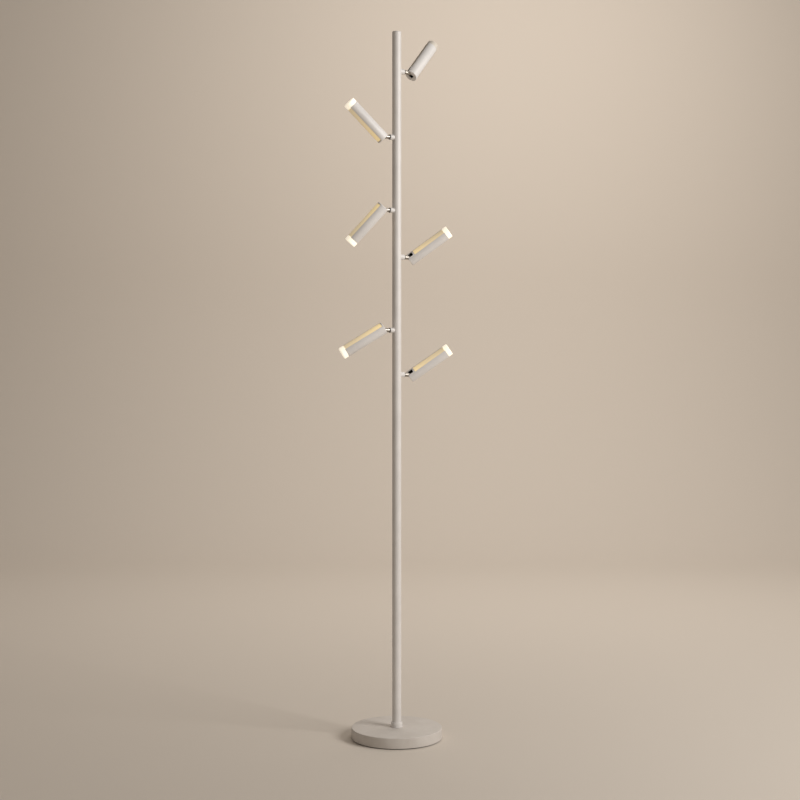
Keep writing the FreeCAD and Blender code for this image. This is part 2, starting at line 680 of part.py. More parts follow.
def led_board(number):
    """Two-sided circuit board on the head's axis; its chips face the two light strips."""
    start = "core_front - board_seat"
    board = block(f"board_{number}", "board_thickness", "board_width", "board_length", ("0", "0", start))
    parts = [board]
    pitch = f"(board_length - board_seat) / {CHIPS_PER_SIDE}"
    for index in range(CHIPS_PER_SIDE):
        middle = f"core_front + {pitch} * {index + 0.5}"
        chip = block(f"chips_{number}_{index + 1}", "board_thickness + 2 * chip_height", "chip_size",
                     "chip_size", ("0", "0", f"{middle} - chip_size / 2"))
        parts.append(chip)
    return fuse(f"head_{number}_led_board", parts)


def light_guide(number):
    """Frosted acrylic guide: the lit cap, its plug, and two strips that fill the tube's light slots."""
    strips = []
    width = "(strip_width - 2 * seat_gap)"
    for name, start, way in (("near", NEAR_STRIP_START, ""), ("far", FAR_STRIP_START, "-")):
        foot = f"{start} + seat_gap"
        strips.append(block(f"strip_{number}_{name}", "head_diameter", width,
                            f"{TUBE_FRONT} - ({foot})", (f"{way}head_diameter / 2", "0", foot)))
    sleeve = ring(f"guide_{number}_sleeve", "head_diameter", GUIDE_SEAT,
                  f"{TUBE_FRONT} - {FAR_STRIP_START}", ("0", "0", FAR_STRIP_START))
    blades = doc.addObject("Part::Common", f"guide_{number}_blades")
    blades.Base = sleeve
    blades.Tool = fuse(f"guide_{number}_strips", strips)
    cap = new_body(f"guide_{number}_cap")
    disc = sketch_on(cap, f"guide_{number}_cap_disc", offset=TUBE_FRONT)
    cap_diameter = "head_diameter - 2 * lit_cap_step"
    add_circle(disc, cap_diameter)
    round_front = [(cap_diameter, "head_length - head_tail")]
    round_circles(cap, pad(cap, disc, "lit_cap_length"), "lit_cap_radius", round_front)
    plug = cylinder(f"guide_{number}_plug", GUIDE_SEAT, "guide_plug_length",
                    ("0", "0", f"{TUBE_FRONT} - guide_plug_length"))
    hollow = cylinder(f"guide_{number}_hollow", "guide_bore",
                      "guide_plug_length + lit_cap_length - lit_cap_front",
                      ("0", "0", f"{TUBE_FRONT} - guide_plug_length"))
    solid = fuse(f"guide_{number}_solid", [cap, plug, blades])
    return cut(f"head_{number}_light_guide", solid, hollow)


# ---------------------------------------------------------------- wiring

def wiring_harness():
    """Wires from the supply unit up the pole, with one pair out along each arm's own turning axis."""
    low = "pad_thickness + floor_run_height"
    trunk = cylinder("wire_trunk", "trunk_diameter", f"{ARM_HEIGHTS[0]} + trunk_diameter / 2 - ({low})",
                     ("0", "0", low))
    floor_run = cylinder("wire_floor_run", "branch_diameter", "driver_centre - driver_width / 2",
                         ("0", "0", low), "y")
    foot = cylinder("wire_foot", "trunk_diameter", "branch_diameter / 2",
                    ("0", "0", f"{low} - branch_diameter / 2"))
    parts = [trunk, foot, floor_run]
    reach = "arm_reach - branch_end_gap"
    for number, (head, height) in enumerate(zip(HEADS, ARM_HEIGHTS), 1):
        start = "0" if head[0] == RIGHT else f"-({reach})"
        parts.append(cylinder(f"wire_branch_{number}", "branch_diameter", reach,
                              (start, "0", height), "x"))
    return fuse("wiring_harness", parts)


# ---------------------------------------------------------------- putting it together

def arm_axes(number):
    """Outward axis of an arm, the direction it tips its head to, and the pin's axis."""
    side = HEADS[number - 1][0]
    pan = math.radians(size(f"arm_{number}_pan"))
    outward = FreeCAD.Vector(side, 0, 0)
    tipping = FreeCAD.Vector(0, -side * math.sin(pan), math.cos(pan))
    return outward, tipping, outward.cross(tipping)


def arm_place(number, turned):
    """Where an arm or a boss stands; a boss isn't turned with the pan."""
    outward, tipping, pin = arm_axes(number)
    if not turned:
        tipping = FreeCAD.Vector(0, 0, 1)
        pin = outward.cross(tipping)
    spot = FreeCAD.Vector(0, 0, worth(ARM_HEIGHTS[number - 1]))
    return FreeCAD.Placement(spot, FreeCAD.Rotation(tipping, pin, outward, "ZXY"))


def head_place(number):
    outward, tipping, pin = arm_axes(number)
    tilt = math.radians(size(f"head_{number}_tilt"))
    forward = outward * math.cos(tilt) + tipping * math.sin(tilt)
    slot = tipping * math.cos(tilt) - outward * math.sin(tilt)
    spot = outward * size("arm_reach") + FreeCAD.Vector(0, 0, worth(ARM_HEIGHTS[number - 1]))
    return FreeCAD.Placement(spot, FreeCAD.Rotation(slot, pin, forward, "ZXY"))


pieces = [
    base_cover(), base_ballast(), foot_pad(), cable_grommet(), led_driver(), driver_screws(),
    pole_lower(), pole_upper(), pole_coupler(), pole_stud(), pole_nut(), foot_collar(), top_cap(),
    friction_rings(), wiring_harness(),
]
for number in range(1, len(HEADS) + 1):
    boss = arm_boss(number)
    boss.Placement = arm_place(number, turned=False)
    arm = swivel_arm(number)
    arm.Placement = arm_place(number, turned=True)
    pieces += [boss, arm]
    for make in (head_housing, hinge_core, hinge_pin, led_board, light_guide):
        piece = make(number)
        piece.Placement = head_place(number)
        pieces.append(piece)
doc.recompute()

for thing in doc.Objects:
    if "Invalid" in thing.State or "Error" in thing.State:
        raise RuntimeError(f"{thing.Label} failed: {thing.State}")
    if thing.TypeId != "PartDesign::Pocket":
        continue
    if thing.BaseFeature.Shape.Volume - thing.Shape.Volume < LEAST_CUT:
        raise RuntimeError(f"{thing.Label} cuts nothing")

os.makedirs("parts", exist_ok=True)
for piece in pieces:
    if piece.Shape.isNull() or not piece.Shape.isValid():
        raise RuntimeError(f"{piece.Label} has no valid shape")
    piece.Shape.exportStep(f"parts/{piece.Label}.step")
    box = piece.Shape.BoundBox
    print(f"{piece.Label:24s} solids {len(piece.Shape.Solids)}  volume {piece.Shape.Volume / 1000:9.3f} cm3"
          f"  z {box.ZMin:8.1f} to {box.ZMax:8.1f}")
print(len(pieces), "pieces")
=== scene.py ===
# %% [markdown]
# # A tree floor lamp, dressed for the camera
#
# The lamp is already engineered: every tube, pin and screw comes in as the fixed frame, in metres, with
# +Z up. This lesson gives it its surfaces. The pieces that catch the light, the six heads with their
# arms and bosses, the tubes and the base cover, are remade here as finer meshes with the small softened
# edges that a real powder-coated part has. Everything stays where the frame says it is.

# %% Load the frame
import json
import math

import bmesh
import bpy
from mathutils import Matrix, Vector


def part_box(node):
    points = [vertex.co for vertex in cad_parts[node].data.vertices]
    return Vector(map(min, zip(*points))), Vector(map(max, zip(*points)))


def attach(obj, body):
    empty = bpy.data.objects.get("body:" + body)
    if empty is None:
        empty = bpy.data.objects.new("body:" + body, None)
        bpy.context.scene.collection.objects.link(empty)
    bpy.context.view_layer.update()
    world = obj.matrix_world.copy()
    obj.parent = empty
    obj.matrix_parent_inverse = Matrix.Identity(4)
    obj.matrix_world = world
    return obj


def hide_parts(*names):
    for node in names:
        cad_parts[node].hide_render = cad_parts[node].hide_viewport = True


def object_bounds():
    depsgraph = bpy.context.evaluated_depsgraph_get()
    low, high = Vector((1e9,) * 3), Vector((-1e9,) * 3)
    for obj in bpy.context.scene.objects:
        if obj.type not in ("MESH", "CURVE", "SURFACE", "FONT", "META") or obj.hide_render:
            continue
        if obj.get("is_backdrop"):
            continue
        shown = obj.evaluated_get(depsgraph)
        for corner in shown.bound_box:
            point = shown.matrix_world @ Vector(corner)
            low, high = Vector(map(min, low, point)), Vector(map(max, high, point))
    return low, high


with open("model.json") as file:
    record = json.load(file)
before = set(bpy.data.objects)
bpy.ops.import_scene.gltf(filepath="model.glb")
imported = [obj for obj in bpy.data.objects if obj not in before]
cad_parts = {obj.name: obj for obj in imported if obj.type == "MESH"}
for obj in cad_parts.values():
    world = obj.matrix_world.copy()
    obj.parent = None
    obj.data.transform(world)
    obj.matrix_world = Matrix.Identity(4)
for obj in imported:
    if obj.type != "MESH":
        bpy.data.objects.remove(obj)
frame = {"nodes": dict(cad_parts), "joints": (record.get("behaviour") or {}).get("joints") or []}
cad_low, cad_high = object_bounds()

MM = 0.001  # sizes below are typed in millimetres, and Blender works in metres
nodes = frame["nodes"]

# %% [markdown]
# ## Where the six heads are
#
# Each head hangs on two joints: it pans about its arm and tilts about a pin in its tail. The joints
# carry those two axes at rest, so they are enough to work out where a head, an arm and a boss stand.
# An arm's own frame has +Z out along the arm. A head's own frame has its origin on the tilt pin, +Z
# forwards along the tube and +X on the side where the tail slot is open. The head's direction comes
# from the tilt joint's range, because that range ends where the head lies straight along its arm.

# %% Read the head positions from the joints
joints = {joint["name"]: joint for joint in frame["joints"]}
HEADS = range(1, 7)


def axes_matrix(origin, x, y, z):
    """A frame of its own, from an origin and three directions."""
    turn = Matrix((x, y, z)).transposed()
    return Matrix.Translation(origin) @ turn.to_4x4()


def places_of(number):
    """Where the boss, the arm and the head of one number stand."""
    pan = joints[f"pan_{number}"]
    tilt = joints[f"tilt_{number}"]
    outward = Vector(pan["axis"]).normalized()
    pin = Vector(tilt["axis"]).normalized()
    tipping = pin.cross(outward)
    angle = math.radians(-tilt["range_deg"][0])
    forward = outward * math.cos(angle) + tipping * math.sin(angle)
    slot = tipping * math.cos(angle) - outward * math.sin(angle)
    root = Vector(pan["pos_m"])
    upright = Vector((0, 0, 1))
    return {
        "boss": axes_matrix(root, upright, outward.cross(upright), outward),
        "arm": axes_matrix(root, tipping, pin, outward),
        "head": axes_matrix(Vector(tilt["pos_m"]), slot, pin, forward),
    }


PLACES = {number: places_of(number) for number in HEADS}
for number in HEADS:
    print("head", number, "looks along", [round(c, 2) for c in PLACES[number]["head"].col[2][:3]])

# %% [markdown]
# ## Colours and nodes
#
# Colours are picked the way a paint card gives them, as sRGB hex values. Blender's shaders work in
# linear light, so one function converts them. A second small function adds a shader node, sets it up
# and links it, which keeps each recipe below short enough to read as a recipe.

# %% Colour and node helpers


def linear(hex_colour):
    """sRGB hex to linear RGBA."""
    channels = [int(hex_colour[i:i + 2], 16) / 255 for i in (1, 3, 5)]
    return [c / 12.92 if c <= 0.04045 else ((c + 0.055) / 1.055) ** 2.4 for c in channels] + [1.0]


def add(tree, kind, settings=None, inputs=None):
    """Add a node. Settings are its properties, inputs are values or links from other sockets."""
    node = tree.nodes.new("ShaderNode" + kind)
    for name, value in (settings or {}).items():
        setattr(node, name, value)
    for name, value in (inputs or {}).items():
        if isinstance(value, bpy.types.NodeSocket):
            tree.links.new(value, node.inputs[name])
        else:
            node.inputs[name].default_value = value
    return node


def new_material(name):
    """A material with an empty node tree, and the tree."""
    material = bpy.data.materials.new(name)
    material.use_nodes = True
    tree = material.node_tree
    tree.nodes.clear()
    return material, tree


def ramp_between(tree, factor, stops):
    """A colour ramp from (position, hex) stops."""
    ramp = add(tree, "ValToRGB", inputs={"Fac": factor})
    elements = ramp.color_ramp.elements
    while len(elements) < len(stops):
        elements.new(0.5)
    for element, (position, colour) in zip(elements, stops):
        element.position = position
        element.color = linear(colour)
    return ramp.outputs["Color"]


def per_metre(millimetres):
    """Noise scale whose features are about this many millimetres apart, on coordinates in metres."""
    return 1.0 / (millimetres * MM)


print("white paint in linear light:", [round(c, 3) for c in linear("#e2dedb")])

# %% [markdown]
# ## White powder coat
#
# The pole, its cap and collar and the bosses are steel with a white powder coat. The powder is sprayed on
# dry and baked, and as it flows it keeps a faint orange peel, about 1 to 2 mm from bump to bump and a
# few hundredths of a millimetre deep. To the eye that is a satin white whose highlight has a soft,
# slightly broken edge. The recipe is a dielectric with IOR 1.5 and two layers of noise. The fine one is
# the orange peel, in the bump. The cloudy one, tens of millimetres wide, is the uneven build of the
# film: a barely visible change of tone, and a mid roughness that wanders a little.

# %% Powder coat recipe
FILM_CLOUD = 45  # mm, width of the clouds in the paint film


def powder_coat(name, light, shade, peel_mm, peel_depth, rough_low, rough_high):
    """Two tones of one colour, the orange peel in millimetres, and the range of the roughness."""
    material, tree = new_material(name)
    here = add(tree, "TexCoord").outputs["Object"]
    peel = add(tree, "TexNoise", inputs={
        "Vector": here, "Scale": per_metre(peel_mm), "Detail": 3.0, "Roughness": 0.5})
    cloud = add(tree, "TexNoise", inputs={
        "Vector": here, "Scale": per_metre(FILM_CLOUD), "Detail": 4.0, "Roughness": 0.6})
    tone = ramp_between(tree, cloud.outputs["Fac"], [(0.3, shade), (0.7, light)])
    rough = add(tree, "MapRange", inputs={
        "Value": cloud.outputs["Fac"], "From Min": 0.3, "From Max": 0.7,
        "To Min": rough_low, "To Max": rough_high})
    bump = add(tree, "Bump", inputs={
        "Strength": 0.35, "Distance": peel_depth * MM, "Height": peel.outputs["Fac"]})
    shader = add(tree, "BsdfPrincipled", inputs={
        "Base Color": tone, "Roughness": rough.outputs["Result"], "IOR": 1.5,
        "Normal": bump.outputs["Normal"]})
    add(tree, "OutputMaterial", inputs={"Surface": shader.outputs["BSDF"]})
    return material


coat_on_tube = powder_coat("powder_coated_steel", "#e2dedb", "#d8d4d1", peel_mm=1.6, peel_depth=0.05,
                           rough_low=0.38, rough_high=0.46)
coat_on_head = powder_coat("powder_coated_aluminium", "#e9e6e4", "#dfdcda", peel_mm=1.4, peel_depth=0.05,
                           rough_low=0.40, rough_high=0.48)
print("coats:", coat_on_tube.name, coat_on_head.name)

# %% [markdown]
# ## Fine-texture powder coat on the base
#
# The base is touched by feet and vacuum cleaners, so it usually gets a textured powder: the same paint with
# a grit in it, about 0.8 mm from grain to grain. At the distance of the photograph such a grain is finer
# than a pixel, so the recipe draws it at 2 mm, where it still reads as a matte, slightly sandy skin. Its
# two tones are darker than the pole's white, and that difference is painted shade for the light falling off
# towards the floor. The roughness is high, which makes the top a soft even tone with no mirror highlight.

# %% Base coat
# Both tones are darker than the pole's coat: painted shade for the dimmer light near the floor.
shaded_coat_on_base = powder_coat("textured_powder_coat_painted_shade", "#cfc9c3", "#c4bdb6", peel_mm=2.0, peel_depth=0.16,
                           rough_low=0.62, rough_high=0.72)
print("base coat:", shaded_coat_on_base.name)

# %% [markdown]
# ## Black anodised aluminium
#
# The hinge core in each tail is turned aluminium, anodised black. Anodising leaves the fine rings of
# the turning and dyes the metal, so it is still a metal to the shader: metallic 1, the default IOR, a
# near black colour, and a bump of waves for the rings. A wave texture fits about three bands into one
# unit of its scale, so a unit of 6 mm draws them 1.9 mm apart, which is coarser than a real lathe's.
# Inside the slot the core reads as a deep dark gap with a small grey glint.

# %% Anodised recipe


def anodised_black():
    """Black dyed metal with turning rings."""
    material, tree = new_material("black_anodised_aluminium")
    here = add(tree, "TexCoord").outputs["Object"]
    turning = add(tree, "TexWave", {"wave_type": "BANDS", "bands_direction": "Z"}, {
        "Vector": here, "Scale": per_metre(6), "Distortion": 1.5, "Detail": 2.0})
    haze = add(tree, "TexNoise", inputs={"Vector": here, "Scale": per_metre(6), "Detail": 3.0})
    tone = ramp_between(tree, haze.outputs["Fac"], [(0.35, "#161617"), (0.7, "#222224")])
    bump = add(tree, "Bump", inputs={
        "Strength": 0.2, "Distance": 0.03 * MM, "Height": turning.outputs["Fac"]})
    shader = add(tree, "BsdfPrincipled", inputs={
        "Base Color": tone, "Metallic": 1.0, "Roughness": 0.5, "Normal": bump.outputs["Normal"]})
    add(tree, "OutputMaterial", inputs={"Surface": shader.outputs["BSDF"]})
    return material


anodised = anodised_black()
print("core:", anodised.name)

# %% [markdown]
# ## Satin nickel
#
# The arms are steel rod with a satin nickel plate. A round metal rod shows the room in stripes: darker
# towards its two edges, with one bright line where it mirrors the large lamp. Nickel is a warm grey
# metal, metallic 1 with the default IOR. It carries faint rings left from the lathe, drawn 1.6 mm
# apart, and its roughness wanders a little where hands have polished it.

# %% Nickel recipe


def satin_nickel():
    """Warm grey plated metal with faint turning rings."""
    material, tree = new_material("nickel_plated_steel")
    here = add(tree, "TexCoord").outputs["Object"]
    turning = add(tree, "TexWave", {"wave_type": "BANDS", "bands_direction": "Z"}, {
        "Vector": here, "Scale": per_metre(5), "Distortion": 0.8, "Detail": 1.0})
    wear = add(tree, "TexNoise", inputs={"Vector": here, "Scale": per_metre(4), "Detail": 4.0})
    tone = ramp_between(tree, wear.outputs["Fac"], [(0.35, "#9a948d"), (0.7, "#aba59e")])
    rough = add(tree, "MapRange", inputs={
        "Value": wear.outputs["Fac"], "To Min": 0.34, "To Max": 0.46})
    bump = add(tree, "Bump", inputs={
        "Strength": 0.15, "Distance": 0.02 * MM, "Height": turning.outputs["Fac"]})
    shader = add(tree, "BsdfPrincipled", inputs={
        "Base Color": tone, "Metallic": 1.0, "Roughness": rough.outputs["Result"],
        "Normal": bump.outputs["Normal"]})
    add(tree, "OutputMaterial", inputs={"Surface": shader.outputs["BSDF"]})
    return material


nickel = satin_nickel()
print("arm finish:", nickel.name)

# %% [markdown]
# ## Small plastics and rubbers
#
# Four kinds of piece are moulded: the friction rings (black acetal, slightly waxy), the foot pad and
# grommet (black rubber, matte and dusty), the supply unit (white flame-retardant plastic with a
# spark-eroded grain), and the wires' insulation. They share one recipe, a dielectric with a grain bump
# and a slow change of tone, because what tells moulded plastics apart is mostly roughness, grain and
# colour.

# %% Moulded plastic recipe
ROUGH_SPREAD = 0.06  # how far the roughness wanders to each side


def moulded(name, light, shade, grain_mm, grain_depth, roughness, ior):
    """Two tones of one colour, the grain in millimetres, the middle roughness and the IOR."""
    material, tree = new_material(name)
    here = add(tree, "TexCoord").outputs["Object"]
    grain = add(tree, "TexNoise", inputs={
        "Vector": here, "Scale": per_metre(grain_mm), "Detail": 4.0, "Roughness": 0.65})
    cloud = add(tree, "TexNoise", inputs={"Vector": here, "Scale": per_metre(20), "Detail": 3.0})
    tone = ramp_between(tree, cloud.outputs["Fac"], [(0.3, shade), (0.7, light)])
    rough = add(tree, "MapRange", inputs={
        "Value": grain.outputs["Fac"],
        "To Min": roughness - ROUGH_SPREAD, "To Max": roughness + ROUGH_SPREAD})
    bump = add(tree, "Bump", inputs={
        "Strength": 0.4, "Distance": grain_depth * MM, "Height": grain.outputs["Fac"]})
    shader = add(tree, "BsdfPrincipled", inputs={
        "Base Color": tone, "Roughness": rough.outputs["Result"], "IOR": ior,
        "Normal": bump.outputs["Normal"]})
    add(tree, "OutputMaterial", inputs={"Surface": shader.outputs["BSDF"]})
    return material


acetal = moulded("black_acetal", "#1d1c1b", "#141313", grain_mm=0.6, grain_depth=0.02,
                 roughness=0.42, ior=1.48)
rubber = moulded("black_rubber", "#2b2826", "#1f1c1b", grain_mm=0.8, grain_depth=0.05,
                 roughness=0.85, ior=1.52)
supply_plastic = moulded("driver_plastic", "#e4e3de", "#d6d5cf", grain_mm=0.5, grain_depth=0.03,
                         roughness=0.6, ior=1.55)
insulation = moulded("wire_insulation", "#d8d5cf", "#c8c4bd", grain_mm=1.2, grain_depth=0.02,
                     roughness=0.45, ior=1.5)
print("moulded:", acetal.name, rubber.name, supply_plastic.name, insulation.name)

# %% [markdown]
# ## Zinc-plated steel and cast iron
#
# The stud, nut, screws, sleeve and pins are steel with bright zinc: metallic, grey with a faint blue
# and yellow bloom, and a shine that is finely uneven. The ballast is grey iron cast in sand: dark,
# rough, with pits and lumps of 2 to 3 mm. Most of both is hidden when the lamp stands, but the base can
# be lifted.

# %% Metals


def zinc_plate():
    """Bright zinc with a faint bloom."""
    material, tree = new_material("zinc_plated_steel")
    here = add(tree, "TexCoord").outputs["Object"]
    bloom = add(tree, "TexNoise", inputs={"Vector": here, "Scale": per_metre(7), "Detail": 3.0})
    tone = ramp_between(tree, bloom.outputs["Fac"], [
        (0.3, "#a3a8ad"), (0.5, "#b6b7b3"), (0.7, "#b8b39f")])
    shine = add(tree, "TexNoise", inputs={
        "Vector": here, "Scale": per_metre(0.8), "Detail": 5.0, "Roughness": 0.7})
    rough = add(tree, "MapRange", inputs={
        "Value": shine.outputs["Fac"], "To Min": 0.26, "To Max": 0.44})
    shader = add(tree, "BsdfPrincipled", inputs={
        "Base Color": tone, "Metallic": 1.0, "Roughness": rough.outputs["Result"]})
    add(tree, "OutputMaterial", inputs={"Surface": shader.outputs["BSDF"]})
    return material


def grey_iron():
    """Iron cast in sand."""
    material, tree = new_material("cast_iron")
    here = add(tree, "TexCoord").outputs["Object"]
    sand = add(tree, "TexNoise", inputs={
        "Vector": here, "Scale": per_metre(2.5), "Detail": 6.0, "Roughness": 0.7})
    tone = ramp_between(tree, sand.outputs["Fac"], [(0.3, "#2b2a29"), (0.7, "#454340")])
    bump = add(tree, "Bump", inputs={
        "Strength": 0.6, "Distance": 0.4 * MM, "Height": sand.outputs["Fac"]})
    shader = add(tree, "BsdfPrincipled", inputs={
        "Base Color": tone, "Metallic": 0.8, "Roughness": 0.7, "Normal": bump.outputs["Normal"]})
    add(tree, "OutputMaterial", inputs={"Surface": shader.outputs["BSDF"]})
    return material


zinc = zinc_plate()
iron = grey_iron()
print("metals:", zinc.name, iron.name)

# %% [markdown]
# ## Circuit board
#
# A lamp's board is coated in white solder resist, which sends stray light back out. Board and chips are
# one piece and share this one finish: they are buried behind the opal strips, where a glossy white with
# a fine weave from the glass fibre is enough.

# %% Board material


def solder_resist():
    """Glossy white over a fibre weave."""
    material, tree = new_material("circuit_board")
    here = add(tree, "TexCoord").outputs["Object"]
    weave = add(tree, "TexVoronoi", {"feature": "F1"}, {"Vector": here, "Scale": per_metre(1.0)})
    tone = ramp_between(tree, weave.outputs["Distance"], [(0.0, "#e9eae3"), (0.8, "#dcddd4")])
    bump = add(tree, "Bump", inputs={
        "Strength": 0.2, "Distance": 0.02 * MM, "Height": weave.outputs["Distance"]})
    shader = add(tree, "BsdfPrincipled", inputs={
        "Base Color": tone, "Roughness": 0.3, "IOR": 1.5, "Normal": bump.outputs["Normal"]})
    add(tree, "OutputMaterial", inputs={"Surface": shader.outputs["BSDF"]})
    return material


board_white = solder_resist()
print("board:", board_white.name)

# %% [markdown]
# ## Opal acrylic, lit from inside
#
# The light guide is opal acrylic (PMMA) with a satin face. Light from the chips scatters in it, so it glows
# by itself: almost white at the cap, and a warmer, dimmer cream along the two strips, which are farther
# from the full light of the cap's hollow. The guide is drawn in its head's own frame, so the place along
# the head is simply the object's Z. A ramp along Z tints the strips and the cap, and a second range along Z
# sets how strongly each of them glows. A fine noise stands for the scattering particles. In the photograph
# the top head shows no glow to the camera, so its guide is the same acrylic turned down, and its greyer,
# darker tones are painted shade.

# %% Lit acrylic recipe
PIN_TO_FRONT = 110  # mm, tilt pin to the front of the lit cap
PIN_TO_CAP = 99     # mm, tilt pin to the end of the tube, where the cap begins
PIN_TO_REAR = 10    # mm, tilt pin to the tube's closed rear end


def opal_acrylic(name, tints, strip_glow, cap_glow):
    """Tints are the strip's at its rear, middle and front, then the cap's."""
    material, tree = new_material(name)
    here = add(tree, "TexCoord").outputs["Object"]
    axes = add(tree, "SeparateXYZ", inputs={"Vector": here})
    along = add(tree, "MapRange", inputs={
        "Value": axes.outputs["Z"], "From Min": -PIN_TO_REAR * MM, "From Max": PIN_TO_FRONT * MM})
    cap_start = (PIN_TO_CAP + PIN_TO_REAR) / (PIN_TO_FRONT + PIN_TO_REAR)
    stops = (0.0, 0.5, cap_start - 0.02, cap_start)
    tint = ramp_between(tree, along.outputs["Result"], list(zip(stops, tints)))
    grain = add(tree, "TexNoise", inputs={"Vector": here, "Scale": per_metre(0.9), "Detail": 2.0})
    bump = add(tree, "Bump", inputs={
        "Strength": 0.15, "Distance": 0.02 * MM, "Height": grain.outputs["Fac"]})
    glow = add(tree, "MapRange", inputs={
        "Value": along.outputs["Result"], "From Min": cap_start - 0.01, "From Max": cap_start,
        "To Min": strip_glow, "To Max": cap_glow})
    shader = add(tree, "BsdfPrincipled", inputs={
        "Base Color": tint, "Roughness": 0.35, "IOR": 1.49, "Normal": bump.outputs["Normal"],
        "Emission Color": tint, "Emission Strength": glow.outputs["Result"]})
    add(tree, "OutputMaterial", inputs={"Surface": shader.outputs["BSDF"]})
    return material


WARM = ("#f0d8a2", "#dcc8a2", "#cfbe9c", "#fff6e2")
# The top head's tints are darker copies of the lit ones: painted shade, with the glow turned down.
DIMMED_AND_SHADED = ("#b6aa98", "#b6aa98", "#b2a694", "#d9d1c5")
opal_lit = opal_acrylic("opal_acrylic", WARM, strip_glow=0.50, cap_glow=0.62)
opal_dim_and_shaded = opal_acrylic("opal_acrylic_dimmed_painted_shade", DIMMED_AND_SHADED, strip_glow=0.01, cap_glow=0.03)
GUIDES = {number: opal_dim_and_shaded if number == 1 else opal_lit for number in HEADS}
print("opal:", opal_lit.name, "and", opal_dim_and_shaded.name)

# %% [markdown]
# ## Turned pieces from a profile
#
# Most of this lamp is turned on a lathe or drawn as a tube, so one helper spins a profile into a mesh.
# A profile is a list of (radius, height) points in millimetres, in order along the metal's surface,
# and the last point joins the first. Spinning by hand in bmesh gives clean rings of quads, an exact
# closed surface, and full control of where the edges lie, which a stretched cylinder doesn't.

# %% Lathe helpers
TURNS = 96      # segments round a tube: a facet on the 15 mm radius is then 1 mm wide
ON_AXIS = 1e-6  # mm, a point nearer to the axis than this is on it


def as_data(name, mesh):
    """Turn a bmesh into mesh data and free it."""
    data = bpy.data.meshes.new(name)
    mesh.to_mesh(data)
    mesh.free()
    return data


def arc(centre_r, centre_z, radius, start, end, steps=5):
    """Points of a rounded edge in a profile, angles in degrees from the outward direction."""
    points = []
    for step in range(steps + 1):
        angle = math.radians(start + (end - start) * step / steps)
        points.append((centre_r + radius * math.cos(angle), centre_z + radius * math.sin(angle)))
    return points


def lathe(name, profile, segments=TURNS):
    """Spin a closed profile about Z. A point on the axis becomes one vertex."""
    mesh = bmesh.new()
    rings = []
    for radius, height in profile:
        if radius < ON_AXIS:
            rings.append([mesh.verts.new((0, 0, height * MM))])
            continue
        ring = []
        for step in range(segments):
            angle = 2 * math.pi * step / segments
            spot = (radius * MM * math.cos(angle), radius * MM * math.sin(angle), height * MM)
            ring.append(mesh.verts.new(spot))
        rings.append(ring)
    for here, there in zip(rings, rings[1:] + rings[:1]):
        if len(here) == 1 and len(there) == 1:
            continue
        for step in range(segments):
            after = (step + 1) % segments
            corners = [here[step % len(here)], here[after % len(here)],
                       there[after % len(there)], there[step % len(there)]]
            mesh.faces.new(list(dict.fromkeys(corners)))
    bmesh.ops.recalc_face_normals(mesh, faces=mesh.faces)
    return as_data(name, mesh)


def rod_mesh(name, radius, low, high, segments):
    """A plain cylinder about Z, in millimetres, used as a drill."""
    return lathe(name, [(0, low), (radius, low), (radius, high), (0, high)], segments)


def box_mesh(name, low, high):
    """A block from its two corners, in millimetres, used as a cutter."""
    mesh = bmesh.new()
    bmesh.ops.create_cube(mesh, size=1.0)
    for vert in mesh.verts:
        vert.co = Vector([(lo if c < 0 else hi) * MM for c, lo, hi in zip(vert.co, low, high)])
    return as_data(name, mesh)


print("a rounded corner has", len(arc(0, 0, 1, 0, 90)), "points, a tube", TURNS, "facets")

# %% [markdown]
# ## Cutting and softening
#
# Slots are cut as a mill would cut them, with a cutter's shape taken away by a Boolean modifier. No
# real edge is perfectly sharp: paint rounds it to a few tenths of a millimetre, and that thin line is
# what catches the light. A Bevel modifier limited by angle makes it, so it acts on the cut edges and
# leaves the facets of the round walls alone. The result is read back as plain mesh data.

# %% Boolean and bevel helpers
BEVEL_OVER = 35  # degrees, edges sharper than this are softened
SHARP_OVER = 32  # degrees, edges sharper than this are shaded as edges


def smooth_walls(data):
    """Shade the round walls smooth and the real edges sharp."""
    for face in data.polygons:
        face.use_smooth = True
    data.set_sharp_from_angle(angle=math.radians(SHARP_OVER))
    return data


def finished(name, base, cutters=(), soft_mm=0.0, joiners=()):
    """Cut and join mesh data, soften its edges, and give one clean mesh."""
    work = bpy.data.objects.new(name + "_work", base)
    bpy.context.scene.collection.objects.link(work)
    helpers = []
    for operation, tools in (("DIFFERENCE", cutters), ("UNION", joiners)):
        for tool in tools:
            helper = bpy.data.objects.new(name + "_tool", tool)
            bpy.context.scene.collection.objects.link(helper)
            helpers.append(helper)
            step = work.modifiers.new("cut", "BOOLEAN")
            step.operation = operation
            step.solver = "EXACT"
            step.object = helper
    if soft_mm:
        soften = work.modifiers.new("soften", "BEVEL")
        soften.width = soft_mm * MM
        soften.segments = 2
        soften.limit_method = "ANGLE"
        soften.angle_limit = math.radians(BEVEL_OVER)
    bpy.context.view_layer.update()
    seen = work.evaluated_get(bpy.context.evaluated_depsgraph_get())
    data = bpy.data.meshes.new_from_object(seen)
    data.name = name
    for thing in [work] + helpers:
        bpy.data.objects.remove(thing)
    return smooth_walls(data)


def piece(name, data, material, body, node, place=None):
    """Stand a mesh in for a node of the frame, on the node's body."""
    thing = bpy.data.objects.new(name, data)
    bpy.context.scene.collection.objects.link(thing)
    if place is not None:
        thing.matrix_world = place
    data.materials.clear()
    data.materials.append(material)
    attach(thing, body)
    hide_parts(node)
    return thing


print("edges over", BEVEL_OVER, "degrees are softened, edges over", SHARP_OVER, "stay sharp")

# %% [markdown]
# ## The base cover
#
# The cover is a pressed steel pan turned upside down: a flat top, a rounded shoulder and a straight
# skirt that stops 2 mm above the floor, over the black pad. The skirt's lower edge has a small chamfer.
# The profile is the pan's wall, spun, and the hole at the rear for the grommet is cut after spinning.

